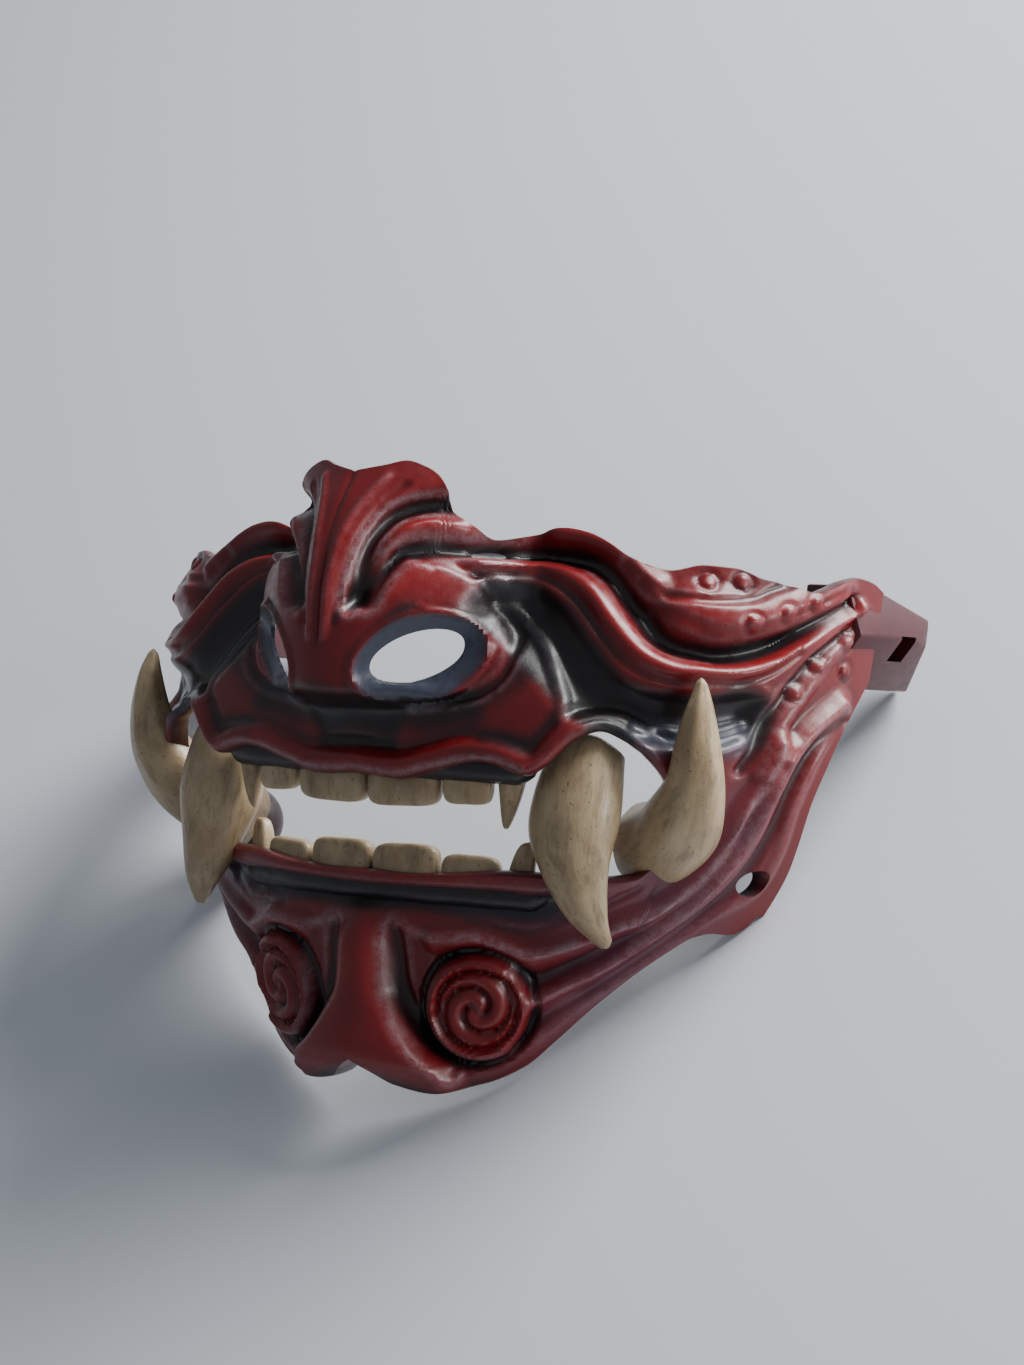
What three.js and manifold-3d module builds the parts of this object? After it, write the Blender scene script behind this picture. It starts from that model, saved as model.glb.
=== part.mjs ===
// A lacquered half mask in the manner of samurai face armour: nose, cheeks, upper lip and jaw
// moulded in one shell, with rows of teeth, two long upper fangs and two lower tusks.
// Millimetres. The mask is shaped in the face frame, upright as it is worn: X to the wearer's
// left, Y from the face back to the ears, Z up, with Z = 0 between the rows of teeth.
// The finished mask lies on its back on the floor, as it does when it is taken off.
import * as THREE from "three";
import { mergeVertices } from "three/addons/utils/BufferGeometryUtils.js";
import Module from "manifold-3d";

const wasm = await Module();
wasm.setup();

// driving dimensions
const wall = 3.2;
const innerFollow = 0.6; // how much of each hollow in the outside the inside follows
const gap = 0.3;
const rearDepth = 100;
const toothThickness = 5;
const nosePower = 1.85;
const creaseRadius = 2; // between nose and cheek
const reliefScale = 1.65; // millimetres of girth for each degree round the face
const slotSize = 6;
const cordHoleRadius = 3.2;
const cutLength = 60; // of the tools that cut slots and holes right through
const restPitch = 50.9; // degrees that the face leans back when the mask lies on its rear rim

// how finely the shell is drawn
const mouthColumns = 25;
const jawColumns = 9;
const upperRows = 13;
const lowerRows = 9;

// a smooth run through [place, value] pairs that never overshoots them
function track(pairs) {
  const x = pairs.map((pair) => pair[0]);
  const y = pairs.map((pair) => pair[1]);
  const last = x.length - 1;
  const rise = x.slice(1).map((value, i) => (y[i + 1] - y[i]) / (value - x[i]));
  const slope = x.map((value, i) => {
    if (i === 0) return rise[0];
    if (i === last) return rise[last - 1];
    if (rise[i - 1] * rise[i] <= 0) return 0;
    return (2 * rise[i - 1] * rise[i]) / (rise[i - 1] + rise[i]);
  });
  return (place) => {
    if (place <= x[0]) return y[0];
    if (place >= x[last]) return y[last];
    let i = 0;
    while (place > x[i + 1]) i += 1;
    const span = x[i + 1] - x[i];
    const t = (place - x[i]) / span;
    const a = y[i] * (1 + 2 * t) * (1 - t) ** 2;
    const b = y[i + 1] * t * t * (3 - 2 * t);
    const c = span * t * (1 - t) * (slope[i] * (1 - t) - slope[i + 1] * t);
    return a + b + c;
  };
}

function smoothStep(low, high, value) {
  const t = Math.min(1, Math.max(0, (value - low) / (high - low)));
  return t * t * (3 - 2 * t);
}

// how square the face is in plan at each height: 2 is an ellipse, more is squarer
const sectionPower = track([[-45, 2], [-25, 2.1], [-5, 2.45], [20, 2.8]]);

// the face without relief: half width and front depth at each height
const halfWidth = track([[-65, 72], [-45, 76], [-25, 82], [-5, 89], [10, 93], [25, 95.5],
  [40, 97], [60, 98]]);
const frontDepth = track([[-65, 11], [-45, 7.5], [-25, 4], [-5, 0], [10, -3], [25, -2.5], [40, 0.5],
  [52, 6], [62, 10.5], [70, 14], [90, 26]]);

// the nose: how far forward its bridge stands, how far it falls back, and over what half width
const bridgeDepth = track([[20, -4.5], [25, -6.5], [27.5, -12], [30, -19.5], [33, -20.6], [40, -21.3],
  [50, -21.5], [63, -19.3], [72, -15.5], [80, -10.5], [86, -7]]);
const noseFall = track([[25, 12], [30, 24], [33, 25], [50, 23.5], [63, 21.5], [72, 15.5], [80, 8], [86, 6]]);
const noseHalfWidth = track([[27, 30], [33, 32], [40, 34.5], [50, 34], [63, 29.5], [72, 23],
  [80, 20], [86, 19]]);

// rounded girth of the face at an angle round it (degrees from the middle) and a height
function plainFace(angle, height) {
  const s = Math.sin(THREE.MathUtils.degToRad(angle));
  const c = Math.cos(THREE.MathUtils.degToRad(angle));
  const power = sectionPower(height);
  const reach = (Math.abs(s) ** power + Math.abs(c) ** power) ** (1 / power);
  const x = (halfWidth(height) * s) / reach;
  const cheek = rearDepth - ((rearDepth - frontDepth(height)) * c) / reach;
  const underNose = 0.9 * Math.max(0, 20 - height); // the nose sinks into the face below its tip
  const fromRidge = Math.abs(x) / noseHalfWidth(height);
  const nose = bridgeDepth(height) + noseFall(height) * fromRidge ** nosePower + underNose;
  const mix = Math.min(1, Math.max(0, 0.5 + (0.5 * (cheek - nose)) / creaseRadius));
  const y = cheek * (1 - mix) + nose * mix - creaseRadius * mix * (1 - mix);
  return new THREE.Vector3(x, y, height);
}

function outward(angle, height) {
  const across = plainFace(angle + 1.5, height).sub(plainFace(angle - 1.5, height));
  const up = plainFace(angle, height + 2.5).sub(plainFace(angle, height - 2.5));
  return across.cross(up).normalize();
}

// outlines, as [degrees from the middle, height]
const topEdge = track([[0, 80.4], [4.2, 82], [6.8, 83.2], [9.2, 82], [11, 80], [12.2, 76.4], [13, 72.4],
  [14.5, 69.5], [17.2, 66.8], [20.2, 68.2], [24.2, 69.2], [27, 68.4], [29.8, 66.4], [32.8, 63.4], [36, 61.7],
  [38, 61.2], [42, 62.8], [46.8, 62.4], [50, 60.5], [54, 59.4], [57.5, 58], [60, 59.3], [62.5, 61.2],
  [66, 62.4], [69.5, 61.6], [72, 59.8]]);
const upperLip = track([[0, 11.4], [7, 10.6], [12.5, 12.8], [19.8, 15.6], [26, 13.2], [28.6, 16.2],
  [31.5, 22], [34.5, 24.4], [37.5, 22.6], [40.4, 19], [43.4, 13.5], [45.5, 5]]);
const lowerLip = track([[0, -12], [7, -12.3], [14.3, -11.6], [25, -10.2], [37, -10.6], [42, -9.4],
  [44.6, -4], [45.5, 5]]);
const cheekSeam = track([[45.5, 5], [66, 8]]); // where cheek and jaw run into each other
const bottomEdge = track([[0, -54.2], [2.5, -56.5], [6.5, -60.4], [13, -62], [22, -59.4], [29, -54.8],
  [34.8, -47.2], [40, -39.4], [45, -32], [50, -25.8], [53, -22.8], [56, -21.8], [59, -22], [61, -20.8],
  [62.5, -17.5]]);
const rearEdge = track([[-23, 62.5], [-14, 64.2], [-6, 65], [8, 65.3], [20, 66.8], [30, 69.2], [39, 72]]);
const mouthCorner = { angle: 45.5, height: 5 };

// ridges and hollows that stand on the face: path in [degrees, height], half width and height
const strokes = [
  { half: 4.2, lift: -2.4, path: [[4.6, 50.4], [5.2, 58.4], [6, 65.6], [7.4, 70.4], [10, 73], [12.8, 73.6]] },
  { half: 4.4, lift: -2.6, path: [[6, 52], [8.8, 61.6], [11.5, 64], [17.8, 64.2], [26.3, 63.6], [30.8, 60.4],
    [35.8, 52], [39.8, 46], [44.5, 43.8], [48.2, 43.4], [56, 47.6], [65, 56]] },
  { half: 4.6, lift: 1.6, path: [[22, 58.6], [28.6, 54.6], [33, 47], [37.2, 40.6], [41.2, 37.6], [44.8, 37.2],
    [50, 37.6], [53.8, 40], [57.5, 45], [61.8, 50.4], [66.8, 54.6]] },
  { half: 9, lift: -4.2, path: [[21, 51], [24.5, 46], [29.5, 38], [34, 31], [39, 28], [46, 27.4], [51, 29]] },
  { half: 5, lift: 2, path: [[23, 68.6], [27, 67.4], [30, 64.4], [33.2, 60.4], [36.2, 57.2]] },
  { half: 8, lift: 2.8, path: [[42, 53], [49, 51], [55, 54], [62, 58]] },
  { half: 3.6, lift: 1.8, path: [[0, 14.6], [7, 14], [12, 16], [17, 18.4], [22, 18], [26.5, 15.8],
    [28.2, 18.8], [30.2, 23.6], [33, 26.4], [35, 27], [37.2, 26], [40, 22.4], [43.5, 15.4]] },
  { half: 4.6, lift: -2.8, path: [[0, -17.6], [8, -17.2], [21, -17], [28, -17.6], [34, -15.6]] },
  { half: 4.4, lift: 2.2, path: [[13, -26.4], [20, -25.2], [25, -27.4], [29, -28.4], [36, -24.4], [41, -20.4],
    [46, -16.4], [50.3, -9.6], [52.8, -1.6], [54.5, 6.8], [56.5, 14.8], [57.5, 23.2]] },
  { half: 4.8, lift: 2.4, path: [[31, -39], [39.2, -31], [46.6, -21.6], [51.8, -13], [56, -1.2], [57.8, 8],
    [58.5, 17.2], [61.5, 25.6], [66.2, 33]] },
];
for (const stroke of strokes) {
  const points = stroke.path.map((place) => new THREE.Vector2(place[0] * reliefScale, place[1]));
  stroke.line = new THREE.SplineCurve(points).getPoints(points.length * 4);
}

function distanceToLine(line, x, y) {
  let best = Infinity;
  for (let i = 0; i + 1 < line.length; i += 1) {
    const dx = line[i + 1].x - line[i].x;
    const dy = line[i + 1].y - line[i].y;
    const along = ((x - line[i].x) * dx + (y - line[i].y) * dy) / (dx * dx + dy * dy);
    const t = Math.min(1, Math.max(0, along));
    best = Math.min(best, Math.hypot(x - line[i].x - t * dx, y - line[i].y - t * dy));
  }
  return best;
}

// the chin: a mound down the middle, and a round rosette boss on each side of it
const moundEdge = track([[-60, 17.5], [-56, 16.5], [-51, 12], [-44, 8], [-38, 5.6], [-26, 4.4], [-22, 2.6]]);
const moundLift = track([[-62, 3], [-54, 7.4], [-40, 5], [-26, 3.4], [-21, 1.6], [-18, 0]]);
const rosette = { angle: 20.7, height: -41.4, radius: 12.6, lift: 3 };
const rosetteScale = 1.42; // millimetres of girth for each degree at the chin

function relief(angle, height) {
  const side = Math.abs(angle);
  let lift = 0;
  for (const stroke of strokes) {
    const reach = distanceToLine(stroke.line, side * reliefScale, height) / stroke.half;
    if (reach < 1) lift += stroke.lift * (1 - reach * reach) ** 2;
  }
  const edge = moundEdge(height);
  lift += moundLift(height) * (1 - smoothStep(edge - 2.5, edge + 3, side));
  const rosetteAcross = (side - rosette.angle) * rosetteScale;
  const fromRosette = Math.hypot(rosetteAcross, height - rosette.height) / rosette.radius;
  if (fromRosette < 1.15) lift += rosette.lift * (1 - smoothStep(0.75, 1.15, fromRosette));
  return lift;
}

function outerPoint(angle, height) {
  return plainFace(angle, height).addScaledVector(outward(angle, height), relief(angle, height));
}

function innerPoint(angle, height) {
  const hollow = Math.min(0, relief(angle, height));
  return plainFace(angle, height).addScaledVector(outward(angle, height), hollow * innerFollow - wall);
}

// the height where a column of the shell crosses an edge
function crossing(edge, share) {
  let height = edge(share * rearEdge(0));
  for (let i = 0; i < 12; i += 1) height = edge(share * rearEdge(height));
  return height;
}

function shellSolid() {
  const cornerShare = mouthCorner.angle / rearEdge(mouthCorner.height);
  const shares = [];
  for (let i = 0; i <= mouthColumns; i += 1) shares.push((cornerShare * i) / mouthColumns);
  for (let i = 1; i <= jawColumns; i += 1) shares.push(cornerShare + ((1 - cornerShare) * i) / jawColumns);
  const columns = [...shares.slice(1).reverse().map((share) => -share), ...shares];
  const positions = [];
  const faces = [];

  function addStrip(low, high, rows) {
    const start = positions.length / 3;
    for (const share of columns) {
      const side = Math.abs(share);
      const joined = side > cornerShare - 1e-6;
      const bottom = crossing(joined && low === upperLip ? cheekSeam : low, side);
      const top = crossing(joined && high === lowerLip ? cheekSeam : high, side);
      for (let j = 0; j <= rows; j += 1) {
        const height = bottom + ((top - bottom) * j) / rows;
        const angle = share * rearEdge(height);
        positions.push(...outerPoint(angle, height).toArray());
        positions.push(...innerPoint(angle, height).toArray());
      }
    }
    const at = (i, j, side) => start + 2 * (i * (rows + 1) + j) + side;
    const quad = (a, b, c, d) => faces.push(a, b, c, a, c, d);
    const edgeWall = (i, j) => quad(at(i, j, 0), at(i, j, 1), at(i + 1, j, 1), at(i + 1, j, 0));
    for (let i = 0; i + 1 < columns.length; i += 1) {
      for (let j = 0; j < rows; j += 1) {
        quad(at(i, j, 0), at(i + 1, j, 0), at(i + 1, j + 1, 0), at(i, j + 1, 0));
        quad(at(i, j, 1), at(i, j + 1, 1), at(i + 1, j + 1, 1), at(i + 1, j, 1));
      }
      const inMouth = Math.max(Math.abs(columns[i]), Math.abs(columns[i + 1])) < cornerShare + 1e-6;
      if (low === bottomEdge || inMouth) edgeWall(i, 0);
      if (high === topEdge || inMouth) {
        quad(at(i, rows, 0), at(i + 1, rows, 0), at(i + 1, rows, 1), at(i, rows, 1));
      }
    }
    const end = columns.length - 1;
    for (let j = 0; j < rows; j += 1) {
      quad(at(0, j, 0), at(0, j + 1, 0), at(0, j + 1, 1), at(0, j, 1));
      quad(at(end, j, 0), at(end, j, 1), at(end, j + 1, 1), at(end, j + 1, 0));
    }
  }

  addStrip(bottomEdge, lowerLip, lowerRows);
  addStrip(upperLip, topEdge, upperRows);
  return toSolid(fromArrays(positions, faces));
}

function fromArrays(positions, faces) {
  const geometry = new THREE.BufferGeometry();
  geometry.setAttribute("position", new THREE.Float32BufferAttribute(positions, 3));
  geometry.setIndex(faces);
  return geometry;
}

function toSolid(geometry) {
  const bare = geometry.clone();
  bare.deleteAttribute("normal");
  bare.deleteAttribute("uv");
  const merged = mergeVertices(bare, 1e-4);
  const index = merged.index.array;
  const kept = [];
  for (let i = 0; i < index.length; i += 3) {
    const [a, b, c] = [index[i], index[i + 1], index[i + 2]];
    if (a !== b && b !== c && c !== a) kept.push(a, b, c);
  }
  return new wasm.Manifold(new wasm.Mesh({
    numProp: 3,
    vertProperties: new Float32Array(merged.attributes.position.array),
    triVerts: new Uint32Array(kept),
  }));
}

function toGeometry(solid) {
  const mesh = solid.getMesh();
  return fromArrays(Array.from(mesh.vertProperties), Array.from(mesh.triVerts));
}

// a curved tapering horn, as [x, y, z, radius] along its axis, thinner from front to back
function hornGeometry(stations, depthShare, grow = 0, rings = 14, sides = 14) {
  const spots = stations.map((station) => new THREE.Vector3(...station.slice(0, 3)));
  const axis = new THREE.CatmullRomCurve3(spots);
  const radiusAt = track(stations.map((station, i) => [i / (stations.length - 1), station[3]]));
  const frames = axis.computeFrenetFrames(rings, false);
  const positions = [];
  const faces = [];
  for (let i = 0; i <= rings; i += 1) {
    const centre = axis.getPoint(i / rings);
    const radius = radiusAt(i / rings) + grow;
    for (let j = 0; j < sides; j += 1) {
      const turn = (2 * Math.PI * j) / sides;
      const reach = frames.normals[i].clone().multiplyScalar(radius * Math.cos(turn));
      reach.addScaledVector(frames.binormals[i], radius * Math.sin(turn));
      reach.y *= depthShare;
      positions.push(...reach.add(centre).toArray());
    }
  }
  const rootPole = positions.length / 3;
  const root = axis.getPoint(0).addScaledVector(frames.tangents[0], -(radiusAt(0) + grow) * 0.5);
  const tip = axis.getPoint(1).addScaledVector(frames.tangents[rings], radiusAt(1) + grow);
  positions.push(...root.toArray(), ...tip.toArray());
  for (let j = 0; j < sides; j += 1) {
    const next = (j + 1) % sides;
    for (let i = 0; i < rings; i += 1) {
      const a = i * sides + j;
      const b = i * sides + next;
      faces.push(a, b, b + sides, a, b + sides, a + sides);
    }
    faces.push(rootPole, next, j);
    faces.push(rootPole + 1, rings * sides + j, rings * sides + next);
  }
  return fromArrays(positions, faces);
}

function roundLength(v, power) {
  return (Math.abs(v.x) ** power + Math.abs(v.y) ** power + Math.abs(v.z) ** power) ** (1 / power);
}

// a tooth that stands in its row behind the lip: from one angle to another, root to tip
function toothGeometry(tooth, grow = 0) {
  const cube = new THREE.BoxGeometry(2, 2, 2, 4, 2, 3);
  const spots = cube.attributes.position;
  const corner = 4.5; // how square the rounded block is
  for (let i = 0; i < spots.count; i += 1) {
    const v = new THREE.Vector3().fromBufferAttribute(spots, i);
    v.multiplyScalar(Math.max(Math.abs(v.x), Math.abs(v.y), Math.abs(v.z)) / roundLength(v, corner));
    const rise = v.z * 0.5 * (tooth.tip > tooth.root ? 1 : -1) + 0.5; // 0 at the root, 1 at the tip
    const half = (tooth.to - tooth.from) / 2;
    const taper = 1 - tooth.taper * rise ** 1.4;
    const angle = (tooth.from + tooth.to) / 2 + v.x * half * taper + tooth.lean * rise ** 2;
    const middle = (tooth.root + tooth.tip) / 2;
    const height = middle + v.z * Math.abs(tooth.tip - tooth.root) / 2;
    const face = plainFace(angle, tooth.row);
    const ahead = outward(angle, tooth.row).setZ(0).normalize();
    const depth = tooth.back + tooth.thick / 2 * (1 + v.y * taper);
    const spot = face.addScaledVector(ahead, -depth).setZ(height);
    spot.add(new THREE.Vector3(v.x ** 3, v.y, v.z).multiplyScalar(grow));
    spots.setXYZ(i, spot.x, spot.y, spot.z);
  }
  return cube;
}

// lugs: faceted blocks behind the cheeks with a strap slot through each, drawn for X > 0
const lugBlock = { width: 19, depth: 40, height: 24, x: 90.5, y: 80, z: 49 };
const lugSlot = { x: 90, y: 80, z: 47 };
const cordHole = { x: 80, y: 47.6, z: -9.6 }; // near the jaw's rear edge, below the mouth

function lugSolid() {
  const stock = new THREE.BoxGeometry(lugBlock.width, lugBlock.depth, lugBlock.height);
  let block = toSolid(stock.translate(lugBlock.x, lugBlock.y, lugBlock.z));
  const facets = [
    { at: [93.6, 64, 60], facing: [0.93, -0.14, 0.33] },
    { at: [97.6, 82, 46], facing: [0.8, -0.12, -0.58] },
    { at: [99, 91, 53], facing: [0.72, 0.66, -0.12] },
    { at: [95, 72, 60.5], facing: [0, 0.3, 0.95] },
    { at: [84, 80, 50], facing: [-1, 0.12, 0] },
  ];
  for (const facet of facets) block = trim(block, facet.at, facet.facing);
  return block;
}

function trim(solid, at, facing) {
  const size = 120;
  const slab = new THREE.BoxGeometry(size, size, size).translate(0, 0, size / 2);
  const turn = new THREE.Quaternion().setFromUnitVectors(
    new THREE.Vector3(0, 0, 1),
    new THREE.Vector3(...facing).normalize(),
  );
  slab.applyQuaternion(turn).translate(...at);
  return solid.subtract(toSolid(slab));
}

function mirrored(solid) {
  const geometry = toGeometry(solid).scale(-1, 1, 1);
  const index = geometry.index.array;
  for (let i = 0; i < index.length; i += 3) [index[i], index[i + 1]] = [index[i + 1], index[i]];
  return toSolid(geometry);
}

// a nostril: an oval hole through the wing of the nose, square to the wing
const nostrilHole = {
  long: 11.2,
  short: 5.6,
  at: [19.5, -8.5, 38.6],
  facing: [0.8, -0.6, -0.35],
  along: [14.5, 14.5, 8.5],
};

function nostrilCutter() {
  const outline = new THREE.Shape().absellipse(0, 0, nostrilHole.long, nostrilHole.short, 0, 2 * Math.PI);
  const cutter = new THREE.ExtrudeGeometry(outline, { depth: 30, bevelEnabled: false, curveSegments: 12 });
  cutter.translate(0, 0, -15);
  const facing = new THREE.Vector3(...nostrilHole.facing).normalize();
  const long = new THREE.Vector3(...nostrilHole.along).projectOnPlane(facing).normalize();
  const frame = new THREE.Matrix4().makeBasis(long, facing.clone().cross(long), facing);
  frame.setPosition(...nostrilHole.at);
  return toSolid(cutter.applyMatrix4(frame));
}

const bone = new THREE.MeshStandardMaterial({ color: 0xa58c69, roughness: 0.42, metalness: 0 });
const lacquer = new THREE.MeshStandardMaterial({ color: 0x7d1c22, roughness: 0.35, metalness: 0 });

const upperTeeth = [
  { name: "upper_incisor", from: 0.15, to: 12.4, root: 15, tip: 4.6, taper: 0, lean: 0 },
  { name: "upper_lateral", from: 12.9, to: 20.6, root: 17, tip: 6.2, taper: 0.04, lean: 0 },
  { name: "upper_small_fang", from: 21.2, to: 25.6, root: 16, tip: 0.6, taper: 0.75, lean: -0.6 },
];
const lowerTeeth = [
  { name: "lower_incisor", from: 0.2, to: 12, root: -16, tip: -5.4, taper: 0, lean: 0 },
  { name: "lower_lateral", from: 12.6, to: 22.6, root: -16, tip: -6.6, taper: 0.05, lean: 0 },
  { name: "lower_small_tusk", from: 23.2, to: 27.8, root: -16, tip: -2.4, taper: 0.35, lean: 1 },
];
for (const tooth of upperTeeth) Object.assign(tooth, { row: 10, back: wall + gap, thick: toothThickness });
for (const tooth of lowerTeeth) Object.assign(tooth, { row: -9, back: wall + gap, thick: toothThickness });

// the gums: a rounded bead behind each lip that the teeth are set in, and a lump at each tusk's root
const gumRows = [
  { height: 14.6, back: wall + 1.6, reach: 27, thick: 4 },
  { height: -14.6, back: wall + 1.6, reach: 31, thick: 4 },
];
const tuskRootLump = { x: 55, y: 33.5, z: -8, radius: 11.5 };

function gumGeometry(row) {
  const points = [];
  for (let i = -8; i <= 8; i += 1) {
    const angle = (row.reach * i) / 8;
    const ahead = outward(angle, row.height).setZ(0).normalize();
    points.push(plainFace(angle, row.height).addScaledVector(ahead, -row.back));
  }
  const outline = new THREE.Shape().absellipse(0, 0, row.thick, row.thick * 0.8, 0, 2 * Math.PI);
  const settings = { extrudePath: new THREE.CatmullRomCurve3(points), steps: 12, curveSegments: 2 };
  return new THREE.ExtrudeGeometry(outline, settings);
}

const fang = [[52, 18, 22, 7.4], [51.2, 14.4, 14, 10], [50.9, 12, 4, 11], [52.1, 11.2, -7, 8.6],
  [55.5, 13, -17.5, 4.8], [58.8, 16.6, -25, 1.2]];
const fangDepthShare = 0.72;
const tusk = [[53, 35.5, -2.5, 9], [61.5, 31.4, -1.2, 10], [70.9, 25.2, 3.6, 9.2], [76.7, 20.4, 12, 7.4],
  [78.5, 17.6, 21.5, 5.4], [78.8, 16.8, 30.5, 3.5], [78.7, 17.1, 37.4, 0.9]];
const tuskDepthShare = 0.9;

const mask = new THREE.Group();

let shell = shellSolid();
for (const row of gumRows) {
  shell = shell.add(toSolid(gumGeometry(row)));
}
const nostril = nostrilCutter();
shell = shell.subtract(nostril).subtract(mirrored(nostril));
const lug = lugSolid();
const slot = toSolid(new THREE.BoxGeometry(cutLength, slotSize, slotSize)
  .translate(lugSlot.x, lugSlot.y, lugSlot.z));
const lump = toSolid(new THREE.SphereGeometry(tuskRootLump.radius, 12, 8)
  .translate(tuskRootLump.x, tuskRootLump.y, tuskRootLump.z));
const cordDrill = toSolid(new THREE.CylinderGeometry(cordHoleRadius, cordHoleRadius, cutLength, 20)
  .rotateZ(Math.PI / 2).translate(cordHole.x, cordHole.y, cordHole.z));
for (const turnOver of [(solid) => solid, mirrored]) {
  shell = shell.add(turnOver(lug)).add(turnOver(lump)).subtract(turnOver(slot)).subtract(turnOver(cordDrill));
  shell = shell.subtract(turnOver(toSolid(hornGeometry(tusk, tuskDepthShare, gap))));
  shell = shell.subtract(turnOver(toSolid(hornGeometry(fang, fangDepthShare, gap))));
}

function addPiece(name, solid, material) {
  const piece = new THREE.Mesh(toGeometry(solid), material);
  piece.name = name;
  mask.add(piece);
}

function addPair(name, solid) {
  addPiece(`${name}_left`, solid, bone);
  addPiece(`${name}_right`, mirrored(solid), bone);
}

for (const tooth of [...upperTeeth, ...lowerTeeth]) {
  const pocket = toSolid(toothGeometry(tooth, gap));
  shell = shell.subtract(pocket).subtract(mirrored(pocket));
  addPair(tooth.name, toSolid(toothGeometry(tooth)));
}
addPair("upper_fang", toSolid(hornGeometry(fang, fangDepthShare)));
addPair("lower_tusk", toSolid(hornGeometry(tusk, tuskDepthShare)));
addPiece("mask_shell", shell, lacquer);

// lay the mask on its back and stand it on the floor, over the middle of its own box
mask.rotation.x = -THREE.MathUtils.degToRad(restPitch);
mask.updateMatrixWorld(true);
const box = new THREE.Box3().setFromObject(mask, true);
mask.position.set(0, -(box.min.y + box.max.y) / 2, -box.min.z);

const faceGuard = new THREE.Group();
faceGuard.add(mask);

export default faceGuard;
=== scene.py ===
import math
import bpy
import numpy as np
from mathutils import Matrix, Vector
from mathutils.kdtree import KDTree


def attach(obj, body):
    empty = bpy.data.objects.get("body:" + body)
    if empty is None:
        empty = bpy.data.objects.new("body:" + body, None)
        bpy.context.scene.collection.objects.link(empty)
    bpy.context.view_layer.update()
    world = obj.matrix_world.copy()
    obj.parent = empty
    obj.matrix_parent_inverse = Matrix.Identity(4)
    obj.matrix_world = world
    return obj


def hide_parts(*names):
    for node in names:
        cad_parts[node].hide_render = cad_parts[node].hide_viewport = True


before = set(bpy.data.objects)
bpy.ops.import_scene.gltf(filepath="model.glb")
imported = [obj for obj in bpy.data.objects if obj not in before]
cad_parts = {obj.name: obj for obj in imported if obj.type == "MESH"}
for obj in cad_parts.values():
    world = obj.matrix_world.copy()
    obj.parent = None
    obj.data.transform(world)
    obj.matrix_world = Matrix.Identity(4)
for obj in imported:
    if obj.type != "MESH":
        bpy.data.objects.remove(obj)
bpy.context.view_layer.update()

bpy.ops.object.select_all(action="DESELECT")
print("frame loaded")

# The mask is shaped upright, as it is worn, in millimetres: x to the wearer's left, y back, z up,
# with z = 0 between the rows of teeth. It is then laid on its back, where the frame has it.
rest = {"pitch": 50.9, "shift": (0, -30.02, 54.27)}
layDown = (Matrix.Translation(Vector(rest["shift"]) / 1000)
           @ Matrix.Rotation(math.radians(-rest["pitch"]), 4, "X") @ Matrix.Scale(0.001, 4))


def track(pairs):  # a smooth run through (place, value) pairs that never overshoots them
    x = np.array([pair[0] for pair in pairs], float)
    y = np.array([pair[1] for pair in pairs], float)
    rise = np.diff(y) / np.diff(x)
    before, after = rise[:-1], rise[1:]
    steady = before * after > 0
    slope = np.concatenate(([rise[0]], np.where(
        steady, 2 * before * after / np.where(steady, before + after, 1), 0), [rise[-1]]))

    def at(place):
        place = np.clip(np.asarray(place, float), x[0], x[-1])
        i = np.clip(np.searchsorted(x, place, side="right") - 1, 0, len(x) - 2)
        span = x[i + 1] - x[i]
        t = (place - x[i]) / span
        ends = y[i] * (1 + 2 * t) * (1 - t) ** 2 + y[i + 1] * t * t * (3 - 2 * t)
        return ends + span * t * (1 - t) * (slope[i] * (1 - t) - slope[i + 1] * t)
    return at


def smoothStep(low, high, value):
    t = np.clip((value - low) / (high - low), 0, 1)
    return t * t * (3 - 2 * t)


face = {
    "rearDepth": 100, "nosePower": 1.85, "crease": 2, "wall": 3.2, "innerFollow": 0.6,
    "girthScale": 1.65,  # millimetres of girth for each degree round the face
    "sectionPower": track([(-45, 2), (-25, 2.1), (-5, 2.45), (20, 2.8)]),  # 2 is an ellipse in plan
    "halfWidth": track([(-65, 72), (-45, 76), (-25, 82), (-5, 89), (10, 93), (25, 95.5), (40, 97),
                        (60, 98)]),
    "frontDepth": track([(-65, 11), (-45, 7.5), (-25, 4), (-5, 0), (10, -3), (25, -2.5), (40, 0.5), (52, 6),
                         (62, 10.5), (70, 14), (90, 26)]),
    "bridgeDepth": track([(20, -4.5), (25, -6.5), (27.5, -12), (30, -19.5), (33, -20.6), (40, -21.3),
                          (50, -21.5), (63, -19.3), (72, -15.5), (80, -10.5), (86, -7)]),
    "noseFall": track([(25, 12), (30, 24), (33, 25), (50, 23.5), (63, 21.5), (72, 15.5), (80, 8), (86, 6)]),
    "noseHalfWidth": track([(27, 30), (33, 32), (40, 34.5), (50, 34), (63, 29.5), (72, 23), (80, 20),
                            (86, 19)]),
}


def plainFace(angle, height):  # the rounded face without its relief, at an angle round it and a height
    angle, height = np.broadcast_arrays(np.asarray(angle, float), np.asarray(height, float))
    s = np.sin(np.radians(angle))
    c = np.cos(np.radians(angle))
    power = face["sectionPower"](height)
    reach = (np.abs(s) ** power + np.abs(c) ** power) ** (1 / power)
    x = face["halfWidth"](height) * s / reach
    cheek = face["rearDepth"] - (face["rearDepth"] - face["frontDepth"](height)) * c / reach
    fromRidge = np.abs(x) / face["noseHalfWidth"](height)
    nose = face["bridgeDepth"](height) + face["noseFall"](height) * fromRidge ** face["nosePower"]
    nose = nose + 0.9 * np.maximum(0, 20 - height)
    mix = np.clip(0.5 + 0.5 * (cheek - nose) / face["crease"], 0, 1)
    y = cheek * (1 - mix) + nose * mix - face["crease"] * mix * (1 - mix)
    return np.stack([x, y, height], -1)


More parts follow.
